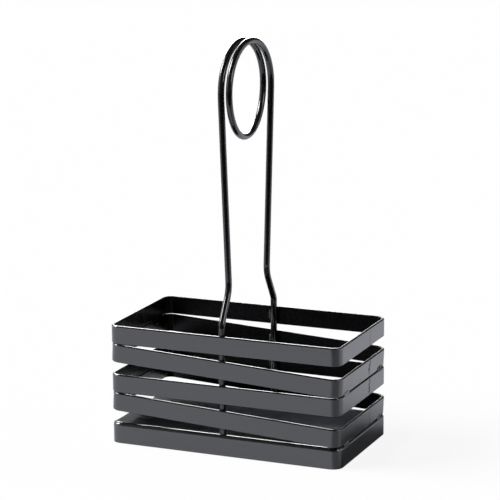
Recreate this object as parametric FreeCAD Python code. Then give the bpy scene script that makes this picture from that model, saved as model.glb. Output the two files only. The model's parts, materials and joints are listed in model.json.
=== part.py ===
import FreeCAD, Part
import math
import os

# Condiment caddy in black steel: four flat-bar hoops stacked in a zigzag on a pressed base pan, carried by
# a handle bent from one length of wire. The hoops, the pan and the handle are joined by small welds.
# Millimetres. +Z is up, X runs along the basket and Y across it, and the origin is at the middle of the
# foot, on the surface that the caddy stands on.

# Flat-bar hoops
basket_length = 209.5
basket_width = 114.3
bar_height = 15.9
bar_thickness = 2.4
bar_edge_break = 0.6          # flat on the bar's outer long edges
corner_radius = 9.0
zigzag_gap = 10.8             # height of the open wedge between two hoops, at its wide end
seam_offset = 14.7            # from the middle of the short side to the butt weld that closes a hoop
seam_width = 1.4
seam_depth = 0.6
seam_crown = 0.2

# Base pan
lowest_bar_point = 17.9       # lowest point of the fourth hoop above the table
pan_wall = 1.2
pan_edge_radius = 3.0

# Handle wire
wire_diameter = 5.6
foot_spread = 1.8             # X offset of each leg from the middle, at its foot
ring_radius = 40.0            # of the wire's centre line
ring_height = 302.6           # centre of the finger ring above the table
ring_leg_x = 5.4              # X offset of the two outer passes of the ring, which run into the legs
ring_inner_x = 1.8            # X offset of the two inner passes
shoulder_rise = 8.5           # from the rim to the bend where a leg turns inwards
shoulder_height = 26.4        # between the two bends of a leg
neck_half_width = 35.0        # from the middle to a leg's centre line, at the upper bend
shoulder_radius = 8.0
neck_radius = 23.0
ring_entry_radius = 60.0
ring_entry_drop = 4.0         # below the ring's centre, where a leg's straight run would meet the ring

# Welds
tack_offset = 39.0            # from the middle of the short side to a corner tack
tack_length = 12.0
bar_tack_radius = 1.0
pan_tack_radius = 1.7
leg_weld_radius = 2.2
leg_weld_length = 9.0
foot_weld_radius = 1.7
foot_weld_length = 4.4

# Worked out from the values above
wire_radius = wire_diameter / 2
half_length = basket_length / 2
half_width = basket_width / 2
half_bar = bar_height / 2
foot_reach = half_length - bar_edge_break
tilt = (math.asin((bar_height + zigzag_gap) / 2 / math.hypot(foot_reach, half_bar))
        - math.atan2(half_bar, foot_reach))

# The low end of the fourth hoop rests on the pan's rounded edge, with its underside tangent to the rounding.
low_edge_x = foot_reach * math.cos(tilt) - half_bar * math.sin(tilt)
rounding_x = half_length - pan_edge_radius
rounding_drop = (pan_edge_radius - (low_edge_x - rounding_x) * math.sin(tilt)) / math.cos(tilt)
pan_height = lowest_bar_point + pan_edge_radius - rounding_drop
third_bar_bottom = lowest_bar_point + zigzag_gap + bar_height
top_bar_bottom = third_bar_bottom + zigzag_gap + 2 * bar_height
rim_height = top_bar_bottom + bar_height
leg_y = half_width - bar_thickness - wire_radius
pan_inner_break = (pan_edge_radius - pan_wall) * (2 - math.sqrt(2))

# Node, height of the hoop's middle, and its tilt. A tilted hoop's right end is the low one.
hoops = [
    ("top_band", top_bar_bottom + bar_height / 2, 0.0),
    ("second_band", (top_bar_bottom + third_bar_bottom + bar_height) / 2, tilt),
    ("third_band", third_bar_bottom + bar_height / 2, 0.0),
    ("fourth_band", (lowest_bar_point + third_bar_bottom) / 2, tilt),
]


def vec(x, y, z):
    return FreeCAD.Vector(x, y, z)


def rounded_block(length, width, radius, bottom, height):
    """Block with rounded vertical edges, centred on the Z axis."""
    block = Part.makeBox(length, width, height, vec(-length / 2, -width / 2, bottom))
    uprights = [e for e in block.Edges if abs(e.Vertexes[0].Z - e.Vertexes[1].Z) > height / 2]
    return block.makeFillet(radius, uprights)


def level_edges(solid, z):
    return [e for e in solid.Edges if abs(e.BoundBox.ZMin - z) < 1e-6 and abs(e.BoundBox.ZMax - z) < 1e-6]


def hoop_shape():
    """Flat bar bent into a rounded rectangle, its outer long edges broken, centred on the origin."""
    low = -half_bar
    outside = rounded_block(basket_length, basket_width, corner_radius, low, bar_height)
    outside = outside.makeChamfer(bar_edge_break, level_edges(outside, low) + level_edges(outside, -low))
    inside = rounded_block(basket_length - 2 * bar_thickness, basket_width - 2 * bar_thickness,
                           corner_radius - bar_thickness, low, bar_height)
    return outside.cut(inside)


def seam_groove():
    """V groove down the outside of the right-hand short side, where the bar's two ends meet."""
    corners = [
        vec(half_length - seam_depth, seam_offset, -bar_height),
        vec(half_length + seam_depth, seam_offset - seam_width, -bar_height),
        vec(half_length + seam_depth, seam_offset + seam_width, -bar_height),
    ]
    return Part.Face(Part.makePolygon(corners + corners[:1])).extrude(vec(0, 0, 2 * bar_height))


def seam_bead(groove):
    """Weld metal that fills the groove to a low crown, no taller than the bar's flat face."""
    half = seam_width / 2
    crown_radius = (half ** 2 + seam_crown ** 2) / (2 * seam_crown)
    height = bar_height - 2 * bar_edge_break
    crown = Part.makeCylinder(crown_radius, height,
                              vec(half_length + seam_crown - crown_radius, seam_offset, -height / 2))
    return groove.common(crown)


def placed(shape, height, angle):
    """The shape turned about Y, right end down, and lifted to its height in the stack."""
    moved = shape.copy()
    moved.rotate(vec(0, 0, 0), vec(0, 1, 0), math.degrees(angle))
    moved.translate(vec(0, 0, height))
    return moved


def base_pan():
    """Pan pressed from sheet and stood upside down: its closed face is the basket's floor."""
    block = rounded_block(basket_length, basket_width, corner_radius, 0, pan_height)
    outside = block.makeFillet(pan_edge_radius, level_edges(block, pan_height))
    block = rounded_block(basket_length - 2 * pan_wall, basket_width - 2 * pan_wall,
                          corner_radius - pan_wall, 0, pan_height - pan_wall)
    inside = block.makeChamfer(pan_inner_break, level_edges(block, pan_height - pan_wall))
    return outside.cut(inside)


def bend(before, corner, after, radius):
    """Start, arc and end of the bend that rounds the corner between two straight runs."""
    into = (corner - before).normalize()
    out = (after - corner).normalize()
    half_turn = into.getAngle(out) / 2
    reach = radius * math.tan(half_turn)
    inward = (out - into).normalize()
    start = corner - into * reach
    middle = corner + inward * (radius / math.cos(half_turn) - radius)
    end = corner + out * reach
    return start, Part.Arc(start, middle, end).toShape(), end


def bent_run(points, radii):
    """Edges of a path along the points, with a bend of the given radius at each inner point."""
    edges = []
    at = points[0]
    for before, corner, after, radius in zip(points, points[1:], points[2:], radii):
        start, arc, end = bend(before, corner, after, radius)
        edges += [Part.makeLine(at, start), arc]
        at = end
    return edges + [Part.makeLine(at, points[-1])]


def half_turn_about_z(edge):
    turned = edge.copy()
    turned.rotate(vec(0, 0, 0), vec(0, 0, 1), 180)
    return turned


def ring_arc(start_x, end_x, side, up):
    """Half circle of the ring from Y = side * radius to the other side, over the top or under the bottom."""
    rise = math.hypot(ring_radius, (end_x - start_x) / 2)
    start = vec(start_x, side * ring_radius, ring_height)
    end = vec(end_x, -side * ring_radius, ring_height)
    middle = vec((start_x + end_x) / 2, 0, ring_height + up * rise)
    return Part.Arc(start, middle, end).toShape()


def handle_path():
    """Centre line: up the front leg, one and a half turns round the finger ring and down the back leg."""
    shoulder_z = rim_height + shoulder_rise
    neck_z = shoulder_z + shoulder_height
    entry_z = ring_height - ring_entry_drop
    lean = (ring_leg_x - foot_spread) / (entry_z - shoulder_z)
    front_leg = bent_run([
        vec(-foot_spread, -leg_y, pan_height),
        vec(-foot_spread, -leg_y, shoulder_z),
        vec(-foot_spread - lean * shoulder_height, -neck_half_width, neck_z),
        vec(-ring_leg_x, -ring_radius, entry_z),
        vec(-ring_leg_x, -ring_radius, ring_height),
    ], [shoulder_radius, neck_radius, ring_entry_radius])
    ring = [
        ring_arc(-ring_leg_x, -ring_inner_x, -1, 1),
        ring_arc(-ring_inner_x, ring_inner_x, 1, -1),
        ring_arc(ring_inner_x, ring_leg_x, -1, 1),
    ]
    back_leg = [half_turn_about_z(e) for e in front_leg]
    return Part.Wire(Part.__sortEdges__(front_leg + ring + back_leg))


def handle_wire():
    path = handle_path()
    foot = vec(-foot_spread, -leg_y, pan_height)
    section = Part.Wire(Part.makeCircle(wire_radius, foot, vec(0, 0, 1)))
    sweep = Part.BRepOffsetAPI.MakePipeShell(path)
    sweep.add(section)
    sweep.build()
    sweep.makeSolid()
    return sweep.shape()


def bead(middle, along, outward, length, radius):
    """Round bead along a joint, its ends sloping down from the crown to the metal that it joins."""
    across = along.cross(outward)
    foot = along * (length / 2)
    crest = along * (length / 2 - radius)
    depth = outward * radius
    corners = [middle - foot - depth, middle + foot - depth, middle + crest + depth, middle - crest + depth]
    block = Part.Face(Part.makePolygon(corners + corners[:1])).extrude(across * (2 * radius))
    block.translate(across * -radius)
    return Part.makeCylinder(radius, length, middle - foot, along).common(block)


def weld(blob, neighbours):
    """Weld metal: the blob less the pieces that it joins, without the crumbs cut off behind them."""
    return max(blob.cut(neighbours).Solids, key=lambda s: s.Volume)


def corner_tacks(joint, side, contact_z, radius, upper, lower):
    """The two tacks that close the groove between two stacked pieces on one short side, near its corners."""
    middle_x = side * (half_length - radius)
    groove_x = side * (half_length - 2 * radius / 3)
    outside = Part.makeBox(2 * radius, basket_width, 4 * radius,
                           vec(min(groove_x, groove_x + side * 2 * radius), -half_width, contact_z - 2 * radius))
    tacks = {}
    for end, y in (("front", -tack_offset), ("back", tack_offset)):
        blob = bead(vec(middle_x, y, contact_z), vec(0, 1, 0), vec(side, 0, 0), tack_length, radius)
        tacks[f"{joint}_{end}_tack"] = weld(blob.common(outside), [upper, lower])
    return tacks


def leg_welds(wire, bands):
    """Short vertical beads beside each leg, against the inside of every hoop. The front leg has them on its
    right and the back leg on its left."""
    x = wire_radius - foot_spread + 2 * leg_weld_radius / 5
    y = half_width - bar_thickness - leg_weld_radius / 4
    beads = {}
    for leg, sign in (("front_leg", -1), ("back_leg", 1)):
        outward = vec(-sign, -sign, 0).normalize()
        for name, height, _ in hoops:
            blob = bead(vec(-sign * x, sign * y, height), vec(0, 0, 1), outward, leg_weld_length, leg_weld_radius)
            beads[f"{leg}_{name}_weld"] = weld(blob, [wire, bands[name]])
    return beads


def foot_welds(wire, pan):
    """A short bead on each side of each leg, where it stands on the pan."""
    beads = {}
    for leg, sign in (("front_leg", -1), ("back_leg", 1)):
        for end, side in (("left", -1), ("right", 1)):
            middle = vec(sign * foot_spread + side * wire_radius, sign * leg_y, pan_height)
            outward = vec(side, 0, 1).normalize()
            blob = bead(middle, vec(0, 1, 0), outward, foot_weld_length, foot_weld_radius)
            beads[f"{leg}_{end}_foot_weld"] = weld(blob, [wire, pan])
    return beads


def build():
    groove = seam_groove()
    closed_hoop = hoop_shape().cut(groove)
    seam = seam_bead(groove)
    bands = {name: placed(closed_hoop, height, angle) for name, height, angle in hoops}
    top, second, third, fourth = bands.values()
    pan = base_pan()
    wire = handle_wire()
    nodes = dict(bands, base_pan=pan, handle_wire=wire)
    nodes.update({f"{name}_seam_weld": placed(seam, height, angle) for name, height, angle in hoops})
    nodes.update(corner_tacks("top_joint", -1, top_bar_bottom, bar_tack_radius, top, second))
    nodes.update(corner_tacks("middle_joint", 1, third_bar_bottom + bar_height, bar_tack_radius, second, third))
    nodes.update(corner_tacks("lower_joint", -1, third_bar_bottom, bar_tack_radius, third, fourth))
    nodes.update(corner_tacks("base_joint", 1, lowest_bar_point - pan_edge_radius / 4, pan_tack_radius,
                              fourth, pan))
    nodes.update(leg_welds(wire, bands))
    nodes.update(foot_welds(wire, pan))
    return nodes


os.makedirs("parts", exist_ok=True)
for node, shape in build().items():
    shape.exportStep(f"parts/{node}.step")
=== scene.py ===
import json
import math

import bmesh
import bpy
from mathutils import Matrix, Vector, noise


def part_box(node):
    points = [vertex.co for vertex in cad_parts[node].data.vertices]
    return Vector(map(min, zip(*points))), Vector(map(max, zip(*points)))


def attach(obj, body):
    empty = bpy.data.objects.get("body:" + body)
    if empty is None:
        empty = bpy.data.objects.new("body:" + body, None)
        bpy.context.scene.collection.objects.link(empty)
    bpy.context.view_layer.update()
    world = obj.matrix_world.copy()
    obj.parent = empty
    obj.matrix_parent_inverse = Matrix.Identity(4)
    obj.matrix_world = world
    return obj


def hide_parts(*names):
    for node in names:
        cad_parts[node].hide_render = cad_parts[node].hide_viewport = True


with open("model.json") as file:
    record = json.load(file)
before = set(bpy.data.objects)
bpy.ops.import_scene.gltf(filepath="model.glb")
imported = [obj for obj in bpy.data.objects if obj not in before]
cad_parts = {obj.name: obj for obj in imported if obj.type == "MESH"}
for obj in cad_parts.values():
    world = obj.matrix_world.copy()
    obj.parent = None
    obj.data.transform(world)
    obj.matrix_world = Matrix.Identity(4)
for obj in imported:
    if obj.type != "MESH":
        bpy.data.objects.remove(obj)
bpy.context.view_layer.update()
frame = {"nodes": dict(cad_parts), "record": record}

# Hoops. The sizes that the record's solids have, and the rounding that the coat gives the bar.
BANDS = ("top_band", "second_band", "third_band", "fourth_band")
TILTED = ("second_band", "fourth_band")
WIDE_SEAMS = ("second_band", "third_band")
HALF_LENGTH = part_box("top_band")[1].x
HALF_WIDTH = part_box("top_band")[1].y
BAR_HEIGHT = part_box("top_band")[1].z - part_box("top_band")[0].z
BAR_THICKNESS = 0.0024
CORNER_RADIUS = 0.009
SOLID_EDGE = 0.0006           # flat along the outer edges of the solid
OUTER_EDGE = 0.0012           # rounding of the bar's long edges, outside and inside
INNER_EDGE = 0.0009
CORNER_STEPS = 14
EDGE_STEPS = 5

# Welds.
SEAM_CREASE = 0.00025         # dip of the bar where its two ends meet
CREASE_WIDTH = 0.0004
CREASE_SPACING = 0.0003
CREASE_REACH = 5              # stations on each side of the crease
BEAD_SIDES = 18
BEAD_SPACING = 0.0003
BEAD_TIP = 0.06               # what a bead keeps of its width at its ends
WOBBLE_SCALE = 500
SWAY_SCALE = 260

# Coats: colours as they are written, scales of the noises per metre, depths of the relief.
BLACK = (0.006, 0.006, 0.0065)
WIRE_BLACK = (0.008, 0.008, 0.0085)
# painted shade: the hoops' inner faces are the same coat as the outside, made darker here
SHADED_INSIDE_BLACK = (0.002, 0.002, 0.0025)
DUST = (0.031, 0.033, 0.039)
NOISE_SPAN = (0.3, 0.7)       # where most of a noise's values lie
CLOUD_SCALE = 55.0
GRIT_SCALE = 2600.0
PEEL_SCALE = 900.0
LUMP_SCALE = 420.0
STREAK_SCALE = 330.0
DUST_SCALE = 700.0
PEEL_DEPTH = 0.00006
LUMP_DEPTH = 0.0010
STREAK_SHADE_IOR = 1.2              # painted shade: the dull streaks between the bright ones
# the basket's floor: dust, and a weak gloss that paints shade there
FLOOR_SHADE_IOR = 1.08

# Studio. Directions from the caddy, and what the gloss finds there.
CAMERA_SIDE = math.radians(23.333)
FRONT = Vector((math.sin(CAMERA_SIDE), -math.cos(CAMERA_SIDE), 0))
CORNER = Vector((0.766, -0.643, 0))        # out past the front right corner, where the table is painted dimmer
BEHIND = Vector((0.240, 0.896, 0.375))     # up behind on the right
WHITE = (1, 1, 1, 1)
TABLE_TINT = (1.0, 1.02, 1.10)
TABLE_AS_SEEN = (0.9, 0.9, 0.9, 1)
TABLE_HALF = 6.0
TABLE_GAP = 0.0002            # keeps the table's face clear of the pan's lower edge
PLAIN_SHARE = 0.90            # of what the camera sees of the table; the rest takes the shadow
LAMP_AIM_HEIGHT = 0.08


# ---------------------------------------------------------------- camera
def aim_camera():
    """Long lens, a little above the rim and round to the right of the front, as the photograph was taken."""
    distance, aim_height = 1.93034, 0.060
    elevation = math.radians(15.886)
    yaw, pitch, roll = math.radians(23.275), math.radians(12.850), math.radians(-0.456)
    stand = FRONT * math.cos(elevation) + Vector((0, 0, math.sin(elevation)))
    data = bpy.data.cameras.new("camera")
    data.sensor_width = 36.0
    data.lens = 162.37
    data.clip_end = 20.0
    camera = bpy.data.objects.new("camera", data)
    bpy.context.scene.collection.objects.link(camera)
    level = Vector((math.cos(yaw), math.sin(yaw), 0))
    forward = Vector((-math.sin(yaw) * math.cos(pitch), math.cos(yaw) * math.cos(pitch),
                      -math.sin(pitch)))
    upright = level.cross(forward)
    right = level * math.cos(roll) + upright * math.sin(roll)
    up = upright * math.cos(roll) - level * math.sin(roll)
    turn = Matrix((right, up, -forward)).transposed()
    place = Matrix.Translation(stand * distance + Vector((0, 0, aim_height)))
    camera.matrix_world = place @ turn.to_4x4()
    bpy.context.scene.camera = camera


# ---------------------------------------------------------------- materials
class Nodes:
    """Short hand for building a node tree. Each method but put and finish gives the new node or its output."""

    def __init__(self, owner):
        owner.use_nodes = True
        self.tree = owner.node_tree
        self.tree.nodes.clear()

    def add(self, kind, inputs=None, **settings):
        node = self.tree.nodes.new(kind)
        for name, value in settings.items():
            setattr(node, name, value)
        for name, value in (inputs or {}).items():
            self.put(node.inputs[name], value)
        return node

    def put(self, socket, value):
        if isinstance(value, bpy.types.NodeSocket):
            self.tree.links.new(value, socket)
        else:
            socket.default_value = value

    def maths(self, operation, first, second=0.0):
        return self.add("ShaderNodeMath", {0: first, 1: second}, operation=operation).outputs[0]

    def vector_maths(self, operation, inputs, output="Vector"):
        return self.add("ShaderNodeVectorMath", inputs, operation=operation).outputs[output]

    def scaled(self, vector, factor):
        return self.vector_maths("SCALE", {0: vector, "Scale": factor})

    def dot(self, vector, direction):
        return self.vector_maths("DOT_PRODUCT", {0: vector, 1: direction}, "Value")

    def noise(self, place, scale, detail):
        return self.add("ShaderNodeTexNoise",
                        {"Vector": place, "Scale": scale, "Detail": detail}).outputs["Fac"]

    def ramp(self, value, start, end, low, high, smooth="LINEAR"):
        return self.add("ShaderNodeMapRange",
                        {"Value": value, "From Min": start, "From Max": end, "To Min": low, "To Max": high},
                        interpolation_type=smooth).outputs["Result"]

    def relief(self, height, strength, depth, under=None):
        inputs = {"Height": height, "Strength": strength, "Distance": depth}
        if under:
            inputs["Normal"] = under
        return self.add("ShaderNodeBump", inputs).outputs["Normal"]

    def gloss(self, colour, rough, ior, normal):
        return self.add("ShaderNodeBsdfPrincipled",
                        {"Base Color": colour, "Roughness": rough, "IOR": ior, "Normal": normal}).outputs[0]

    def mix(self, share, first, second):
        return self.add("ShaderNodeMixShader", {"Fac": share, 1: first, 2: second}).outputs[0]

    def split_by_ray(self, lit, seen):
        """What the light and the gloss find, and what the camera sees."""
        return self.mix(self.add("ShaderNodeLightPath").outputs["Is Camera Ray"], lit, seen)

    def finish(self, kind, surface):
        self.put(self.add(kind).inputs["Surface"], surface)


def floor_of_basket(n, place):
    """1 on the pan's closed face inside the hoops, where things are set down, and 0 elsewhere."""
    fade_start, fade_end = 0.0045, 0.0025
    split = n.add("ShaderNodeSeparateXYZ", {"Vector": place})
    normal = n.add("ShaderNodeSeparateXYZ", {"Vector": n.add("ShaderNodeNewGeometry").outputs["Normal"]})
    mask = n.ramp(normal.outputs["Z"], 0.95, 0.99, 0.0, 1.0)
    for axis, reach in (("X", HALF_LENGTH), ("Y", HALF_WIDTH)):
        away = n.maths("ABSOLUTE", split.outputs[axis])
        mask = n.maths("MULTIPLY", mask, n.ramp(away, reach - fade_start, reach - fade_end, 1.0, 0.0))
    return mask


def powder_coat(name, colour, roughness, ior, peel, lumps=0.0, streak_shade=False, dusty_shaded_floor=False):
    """Satin black powder coat: fine orange peel, faint clouding, and roughness that varies a little. Lumps
    adds the coarse relief of a weld, the streak option dims the gloss between upright bright patches as
    painted shade, and the floor option gives the basket's floor dust and a dull gloss, painted shade."""
    material = bpy.data.materials.new(name)
    n = Nodes(material)
    place = n.add("ShaderNodeTexCoord").outputs["Object"]
    cloud = n.noise(place, CLOUD_SCALE, 3.0)
    tone = n.maths("MULTIPLY", n.ramp(cloud, *NOISE_SPAN, 0.82, 1.15),
                   n.ramp(n.noise(place, GRIT_SCALE, 2.0), *NOISE_SPAN, 0.8, 1.2))
    rough = n.ramp(cloud, *NOISE_SPAN, roughness - 0.02, roughness + 0.04)
    base = n.scaled(colour, tone)
    bump = n.relief(n.noise(place, PEEL_SCALE, 2.5), peel, PEEL_DEPTH)
    if lumps:
        bump = n.relief(n.noise(place, LUMP_SCALE, 3.0), lumps, LUMP_DEPTH, bump)
    coat = n.gloss(base, rough, ior, bump)
    if streak_shade:
        drawn = n.vector_maths("MULTIPLY", {0: place, 1: (1.0, 1.0, 0.3)})
        # painted shade: upright patches where the gloss reflects less, between the bright streaks
        dark = n.ramp(n.noise(drawn, STREAK_SCALE, 1.0), 0.46, 0.54, 0.0, 1.0)
        coat = n.mix(dark, coat, n.gloss(base, rough, STREAK_SHADE_IOR, bump))
    if dusty_shaded_floor:
        # Basket floor: dust colour, and a weak gloss that paints shade on it.
        dusty = n.ramp(n.noise(place, DUST_SCALE, 4.0), 0.4, 0.65, 0.09, 0.14)
        dust_and_shade = n.gloss(n.scaled(DUST, tone), dusty, FLOOR_SHADE_IOR, bump)
        coat = n.mix(floor_of_basket(n, place), coat, dust_and_shade)
    n.finish("ShaderNodeOutputMaterial", coat)
    return material


# ---------------------------------------------------------------- shapes
def skin(name, rings, closed, second=()):
    """Mesh over equal rings of points. Where it is closed it joins up with itself, and otherwise it is
    capped at both ends. Ring steps listed in second take the second material."""
    bm = bmesh.new()
    grid = [[bm.verts.new(point) for point in ring] for ring in rings]
    count = len(rings[0])
    for here, there in zip(grid, grid[1:] + grid[:1] if closed else grid[1:]):
        for k in range(count):
            face = bm.faces.new((here[k], there[k], there[(k + 1) % count], here[(k + 1) % count]))
            face.material_index = int(k in second)
    if not closed:
        bm.faces.new(grid[0][::-1])
        bm.faces.new(grid[-1])
    bmesh.ops.recalc_face_normals(bm, faces=bm.faces)
    mesh = bpy.data.meshes.new(name)
    bm.to_mesh(mesh)
    bm.free()
    mesh.shade_smooth()
    obj = bpy.data.objects.new(name, mesh)
    bpy.context.scene.collection.objects.link(obj)
    obj.modifiers.new("even_normals", "WEIGHTED_NORMAL")
    return obj


def stand_for(piece, node, slot, *materials):
    for material in materials:
        piece.data.materials.append(material)
    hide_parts(node)
    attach(piece, "root")


def band_turn(band):
    """Middle of a hoop, and its tilt about Y from the height that it takes up. The right end is low."""
    low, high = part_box(band)
    foot = Vector((HALF_LENGTH - SOLID_EDGE, BAR_HEIGHT / 2))
    angle = 0.0
    if band in TILTED:
        angle = math.asin((high.z - low.z) / 2 / foot.length) - math.atan2(foot.y, foot.x)
    return Vector((0, 0, (low.z + high.z) / 2)), Matrix.Rotation(angle, 3, "Y")


def hoop_stations(dips):
    """Points and outward normals once round the hoop, with more of them on the right-hand side at dips."""
    stations = []
    for sx, sy, start in ((1, -1, -90), (1, 1, 0), (-1, 1, 90), (-1, -1, 180)):
        centre = Vector((sx * (HALF_LENGTH - CORNER_RADIUS), sy * (HALF_WIDTH - CORNER_RADIUS)))
        for step in range(CORNER_STEPS + 1):
            angle = math.radians(start + 90 * step / CORNER_STEPS)
            normal = Vector((math.cos(angle), math.sin(angle)))
            stations.append((centre + normal * CORNER_RADIUS, normal))
        if start == -90:
            stations += [(Vector((HALF_LENGTH, y)), Vector((1, 0))) for y in dips]
    return stations


def bar_section():
    """Depth and level of points round the bar's section, its long edges rounded."""
    points = []
    half = BAR_HEIGHT / 2
    for depth, level, radius, start in ((OUTER_EDGE, -half, OUTER_EDGE, 180),
                                        (BAR_THICKNESS - INNER_EDGE, -half, INNER_EDGE, 270),
                                        (BAR_THICKNESS - INNER_EDGE, half, INNER_EDGE, 0),
                                        (OUTER_EDGE, half, OUTER_EDGE, 90)):
        level -= math.copysign(radius, level)
        for step in range(EDGE_STEPS + 1):
            angle = math.radians(start + 90 * step / EDGE_STEPS)
            points.append((depth + radius * math.cos(angle), level + radius * math.sin(angle)))
    return points


def build_hoops():
    """Flat-bar hoops with rounded edges, and a shallow crease where their two ends were welded. Their inner
    faces take a darker, duller copy of the coat, painted shade.
    """
    steps = EDGE_STEPS + 1
    inside = range(steps, 3 * steps - 1)      # ring steps of the bar's inner face and its two roundings
    section = bar_section()
    for band in BANDS:
        middle, turn = band_turn(band)
        low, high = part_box(band + "_seam_weld")
        seam_y = (low.y + high.y) / 2
        dips = [seam_y + k * CREASE_SPACING for k in range(-CREASE_REACH, CREASE_REACH + 1)]
        rings = []
        for point, normal in hoop_stations(dips):
            crease = 0.0
            if point.x > 0:
                crease = SEAM_CREASE * math.exp(-((point.y - seam_y) / CREASE_WIDTH) ** 2)
            ring = []
            for depth, level in section:
                flat = point - normal * (depth + (crease if depth < OUTER_EDGE else 0.0))
                ring.append(turn @ Vector((flat.x, flat.y, level)) + middle)
            rings.append(ring)
        # The inner face and its roundings take a darker, duller copy of the bar coat: painted shade inside the
        # basket.
        hoop = skin(band + "_rounded", rings, True, inside)
        stand_for(hoop, band, "bar_coat", coat["bar_coat"], inside_shade_coat)


def bead(start, end, outward, width, crown, seed, ripple=0.0012, sway=0.12, unevenness=0.16):
    """Rings of a hand-laid bead: a low crown with ripples, uneven edges and tapered ends. Its underside
    goes down by a sixth of its width."""
    along = (end - start).normalized()
    across = along.cross(outward).normalized()
    length = (end - start).length
    steps = max(16, int(length / BEAD_SPACING))
    rings = []
    for i in range(steps + 1):
        t = i / steps
        run = t * length
        taper = math.sqrt(max(0.0, 1 - abs(2 * t - 1) ** 3)) * (1 - BEAD_TIP) + BEAD_TIP
        wobble = noise.noise(Vector((run * WOBBLE_SCALE, seed * 3.7, 0)))
        wave = math.sin(run / ripple * math.tau + seed)
        rise = (1 + unevenness * wave + 0.2 * wobble) / (1.2 + unevenness)
        drift = sway * width * noise.noise(Vector((run * SWAY_SCALE, 5.1, seed * 1.9)))
        centre = start + along * run + across * drift
        ring = []
        for k in range(BEAD_SIDES):
            angle = math.tau * k / BEAD_SIDES
            height = math.sin(angle) * (crown * rise if math.sin(angle) > 0 else width / 6)
            aside = width / 2 * taper * math.cos(angle) * (1 + 0.15 * wobble)
            ring.append(centre + across * aside + outward * (height * taper))
        rings.append(ring)
    return rings


def lay_bead(node, *shape, look="weld_coat", **finish):
    piece = skin(node + "_bead", bead(*shape, **finish), False)
    stand_for(piece, node, "weld_coat", coat[look])


def build_seams():
    """Butt welds down the right-hand short side: filed nearly flush on the top and bottom hoops, and left
    wide and wavy on the two between."""
    sunk, reach = 0.00012, BAR_HEIGHT / 2 - OUTER_EDGE
    for seed, band in enumerate(BANDS):
        middle, turn = band_turn(band)
        low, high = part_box(band + "_seam_weld")
        width, crown, look = 0.0008, 0.00018, "weld_coat"
        if band in WIDE_SEAMS:
            width, crown, look = 0.0044, 0.00054, "lumpy_weld"
        ends = [middle + turn @ Vector((HALF_LENGTH - sunk, (low.y + high.y) / 2, level))
                for level in (-reach, reach)]
        lay_bead(band + "_seam_weld", *ends, turn @ Vector((1, 0, 0)), width, crown, seed + 2,
                 ripple=0.0034, sway=0.45, unevenness=0.55, look=look)


def build_tacks():
    """Tacks across the grooves between stacked pieces, near the corners of the short sides. The back ones on
    the right are spread wide."""
    sunk, overrun, spread_overrun = 0.00065, 0.001, 0.003
    for seed, joint in enumerate(("top", "middle", "lower", "base")):
        for end in ("front", "back"):
            node = f"{joint}_joint_{end}_tack"
            low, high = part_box(node)
            side = math.copysign(1, low.x)
            spread = end == "back" and side > 0
            level = (low.z + high.z) / 2
            x = side * (HALF_LENGTH - sunk)
            ends = [Vector((x, y, level))
                    for y in (low.y - overrun, high.y + (spread_overrun if spread else overrun))]
            lay_bead(node, *ends, Vector((side, 0, 0)), 0.0080 if spread else 0.0044,
                     0.00103 if side > 0 else 0.00082, seed * 2 + spread,
                     ripple=0.0038 if spread else 0.0031, sway=0.05, unevenness=0.60 if spread else 0.12,
                     look="lumpy_weld" if spread else "weld_coat")


def build_leg_beads():
    """Upright beads between the handle's legs and the insides of the four hoops."""
    sunk, width, crown = 0.0006, 0.0044, 0.0017
    for leg in ("front_leg", "back_leg"):
        for seed, band in enumerate(BANDS):
            low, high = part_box(f"{leg}_{band}_weld")
            wall = math.copysign(1, low.y)
            x = (low.x + high.x) / 2
            y = wall * (max(abs(low.y), abs(high.y)) - sunk)
            lay_bead(f"{leg}_{band}_weld", Vector((x, y, low.z)), Vector((x, y, high.z)),
                     Vector((0, -wall, 0)), width, crown, seed * wall + 5.0, ripple=0.0024)


def build_foot_beads():
    """Beads on the pan, along both sides of each leg's foot."""
    inset, width, crown = 0.0006, 0.0032, 0.0016
    for leg in ("front_leg", "back_leg"):
        for seed, end in enumerate(("left", "right")):
            low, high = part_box(f"{leg}_{end}_foot_weld")
            away = 1 if end == "right" else -1
            x = (low.x + high.x) / 2 - away * inset
            z = low.z
            lay_bead(f"{leg}_{end}_foot_weld", Vector((x, low.y, z)), Vector((x, high.y, z)),
                     Vector((away * 0.5, 0, 1)).normalized(), width, crown, seed + low.y * 50)


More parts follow.
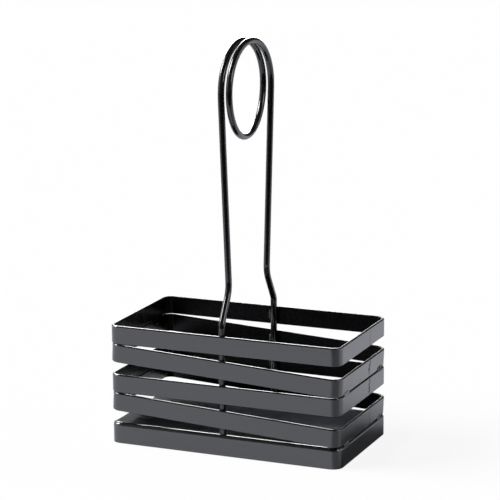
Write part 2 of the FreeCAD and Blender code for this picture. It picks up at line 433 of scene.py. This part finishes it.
# ---------------------------------------------------------------- stage and light
def white_floor():
    """White table, as the gloss shows it: faintly cool, painted dark in front for the unlit room there, and
    painted dimmer past the caddy's front right corner, where the light falls off. The camera sees white with a
    faint shadow."""
    half = TABLE_HALF
    mesh = bpy.data.meshes.new("floor")
    mesh.from_pydata([(-half, -half, 0), (half, -half, 0), (half, half, 0), (-half, half, 0)], [],
                     [(0, 1, 2, 3)])
    floor = bpy.data.objects.new("floor", mesh)
    floor.location.z = -TABLE_GAP
    bpy.context.scene.collection.objects.link(floor)
    material = bpy.data.materials.new("floor_white")
    n = Nodes(material)
    place = n.add("ShaderNodeTexCoord").outputs["Object"]
    # painted shade: the table goes dark in front, for the unlit room there
    white = n.ramp(n.dot(place, FRONT), 0.40, 0.60, 0.90, 0.03, "SMOOTHSTEP")
    near_corner = (HALF_LENGTH - 0.005, 0.005 - HALF_WIDTH, 0)
    away = n.vector_maths("SUBTRACT", {0: place, 1: near_corner})
    away = n.vector_maths("NORMALIZE", {0: away})
    # painted shade: the table dims past the front right corner, where the light falls off
    corner_falloff_shade = n.ramp(n.dot(away, CORNER), 0.50, 0.98, 1.0, 0.42, "SMOOTHSTEP")
    tint = n.scaled(TABLE_TINT, n.maths("MULTIPLY", white, corner_falloff_shade))
    table = n.add("ShaderNodeBsdfDiffuse", {"Color": tint}).outputs[0]
    shaded = n.add("ShaderNodeBsdfDiffuse", {"Color": TABLE_AS_SEEN}).outputs[0]
    plain = n.add("ShaderNodeEmission", {"Strength": 1.0}).outputs[0]
    n.finish("ShaderNodeOutputMaterial", n.split_by_ray(table, n.mix(PLAIN_SHARE, shaded, plain)))
    mesh.materials.append(material)


def studio_world():
    """White walls round the table, dark above, on the side in front and up behind on the right. Plain white
    where the camera looks."""
    world = bpy.data.worlds.new("studio")
    bpy.context.scene.world = world
    n = Nodes(world)
    direction = n.add("ShaderNodeTexCoord").outputs["Generated"]
    height = n.add("ShaderNodeSeparateXYZ", {"Vector": direction}).outputs["Z"]
    wall = n.ramp(height, 0.42, 0.68, 1.0, 0.03, "SMOOTHSTEP")
    side = n.ramp(n.dot(direction, FRONT), 0.2, 0.75, 1.0, 0.06, "SMOOTHSTEP")
    behind = n.ramp(n.dot(direction, BEHIND), 0.84, 0.95, 1.0, 0.08, "SMOOTHSTEP")
    level = n.maths("MULTIPLY", n.maths("MULTIPLY", wall, side), behind)
    room = n.add("ShaderNodeBackground", {"Color": WHITE, "Strength": level}).outputs[0]
    white = n.add("ShaderNodeBackground", {"Color": WHITE, "Strength": 1.0}).outputs[0]
    n.finish("ShaderNodeOutputWorld", n.split_by_ray(room, white))


def lamp(name, kind, place, **settings):
    """Lamp at a place, aimed at the middle of the basket."""
    data = bpy.data.lights.new(name, kind)
    for key, value in settings.items():
        setattr(data, key, value)
    obj = bpy.data.objects.new(name, data)
    obj.location = place
    back = Vector(place) - Vector((0, 0, LAMP_AIM_HEIGHT))
    obj.rotation_euler = back.to_track_quat("Z", "Y").to_euler()
    obj.visible_camera = False
    bpy.context.scene.collection.objects.link(obj)
    return obj


def card(name, place, energy, width, height):
    """White card that shows in the gloss alone."""
    obj = lamp(name, "AREA", place, energy=energy, shape="RECTANGLE", size=width, size_y=height)
    obj.visible_diffuse = False


coat = {
    "bar_coat": powder_coat("bar_coat", BLACK, roughness=0.12, ior=1.9, peel=0.20),
    "pan_coat": powder_coat("pan_coat", BLACK, roughness=0.12, ior=1.9, peel=0.20, dusty_shaded_floor=True),
    "wire_coat": powder_coat("wire_coat", WIRE_BLACK, roughness=0.09, ior=1.62, peel=0.15),
    "weld_coat": powder_coat("weld_coat", BLACK, roughness=0.12, ior=1.9, peel=0.20, lumps=0.11),
    "lumpy_weld": powder_coat("weld_coat_lumpy", BLACK, roughness=0.12, ior=2.4, peel=0.20, lumps=1.0,
                              streak_shade=True),
}
# Darker, rougher, less glossy copy of the bar coat for the hoops' inner faces: painted shade, not a coat of
# their own.
inside_shade_coat = powder_coat("bar_coat_inside_shade", SHADED_INSIDE_BLACK, roughness=0.26, ior=1.25, peel=0.30)
for part in frame["record"]["subparts"]:
    surface = frame["nodes"][part["node"]]
    surface.data.materials.clear()
    surface.data.materials.append(coat[part["material_slot"]])

build_hoops()
build_seams()
build_tacks()
build_leg_beads()
build_foot_beads()

aim_camera()
white_floor()
studio_world()
key = lamp("key", "SUN", (-0.80, -0.30, 0.70), energy=4.6, angle=math.radians(40))
key.visible_glossy = False
card("back_card", (-0.30, 0.48, 0.46), energy=6.5, width=0.42, height=0.33)
card("low_card", (-0.70, 1.44, 0.30), energy=2.4, width=0.60, height=0.20)
card("left_card", (-1.84, -0.50, 1.67), energy=72.0, width=1.05, height=1.0)
card("right_card", (2.05, -0.44, 0.98), energy=7.0, width=0.8, height=0.7)
bpy.context.scene.view_settings.view_transform = "Standard"
